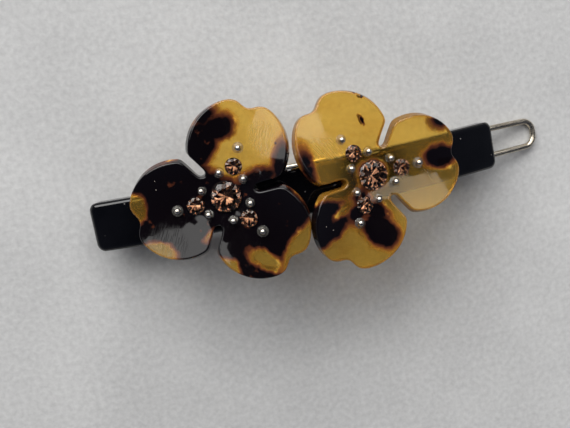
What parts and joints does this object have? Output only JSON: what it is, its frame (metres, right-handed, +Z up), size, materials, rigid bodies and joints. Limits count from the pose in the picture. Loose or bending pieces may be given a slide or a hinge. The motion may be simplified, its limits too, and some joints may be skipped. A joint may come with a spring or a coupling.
{
  "type": "hair barrette",
  "caption": "Slide hair barrette with an arched acetate bar, two cut tortoiseshell flowers set with stones and metal beads, and a hinged wire loop clasp.",
  "frame": {"origin": "middle of the hinge block's flat underside, on the table that the barrette rests on", "axes": "+X runs along the bar from the hinge end to the catch end, +Y is towards the bar's back edge, +Z is up, out of the table"},
  "size_m": [0.0876, 0.0341, 0.019],
  "materials": {
    "black_acetate": "polished black cellulose acetate",
    "tortoiseshell": "polished honey and dark brown tortoiseshell acetate",
    "wire": "bright nickel-plated spring wire",
    "bead": "polished nickel-plated beads",
    "stone": "foil-backed cut glass, light topaz",
    "glue": "cured clear glue"
  },
  "bodies": {
    "clip": {"bar": "black_acetate", "hinge_block": "black_acetate", "catch_knob": "black_acetate", "glue_spot_left": "glue", "glue_spot_right": "glue", "flower_left": "tortoiseshell", "flower_right": "tortoiseshell", "centre_stone_left": "stone", "centre_stone_right": "stone", "petal_stone_left_1": "stone", "petal_stone_left_2": "stone", "petal_stone_left_3": "stone", "petal_stone_right_1": "stone", "petal_stone_right_2": "stone", "petal_stone_right_3": "stone", "bead_left_1": "bead", "bead_left_2": "bead", "bead_left_3": "bead", "bead_left_4": "bead", "bead_left_5": "bead", "bead_left_6": "bead", "bead_left_7": "bead", "bead_left_8": "bead", "bead_left_9": "bead", "bead_right_1": "bead", "bead_right_2": "bead", "bead_right_3": "bead", "bead_right_4": "bead", "bead_right_5": "bead", "bead_right_6": "bead", "bead_right_7": "bead", "bead_right_8": "bead", "bead_right_9": "bead"},
    "loop": {"wire_loop": "wire"}
  },
  "joints": [
    {"name": "loop_hinge", "type": "hinge", "parent": "clip", "child": "loop", "pos_m": [0, 0, 0.00239], "axis": [0, 1, 0], "range_deg": [0, 170]}
  ]
}
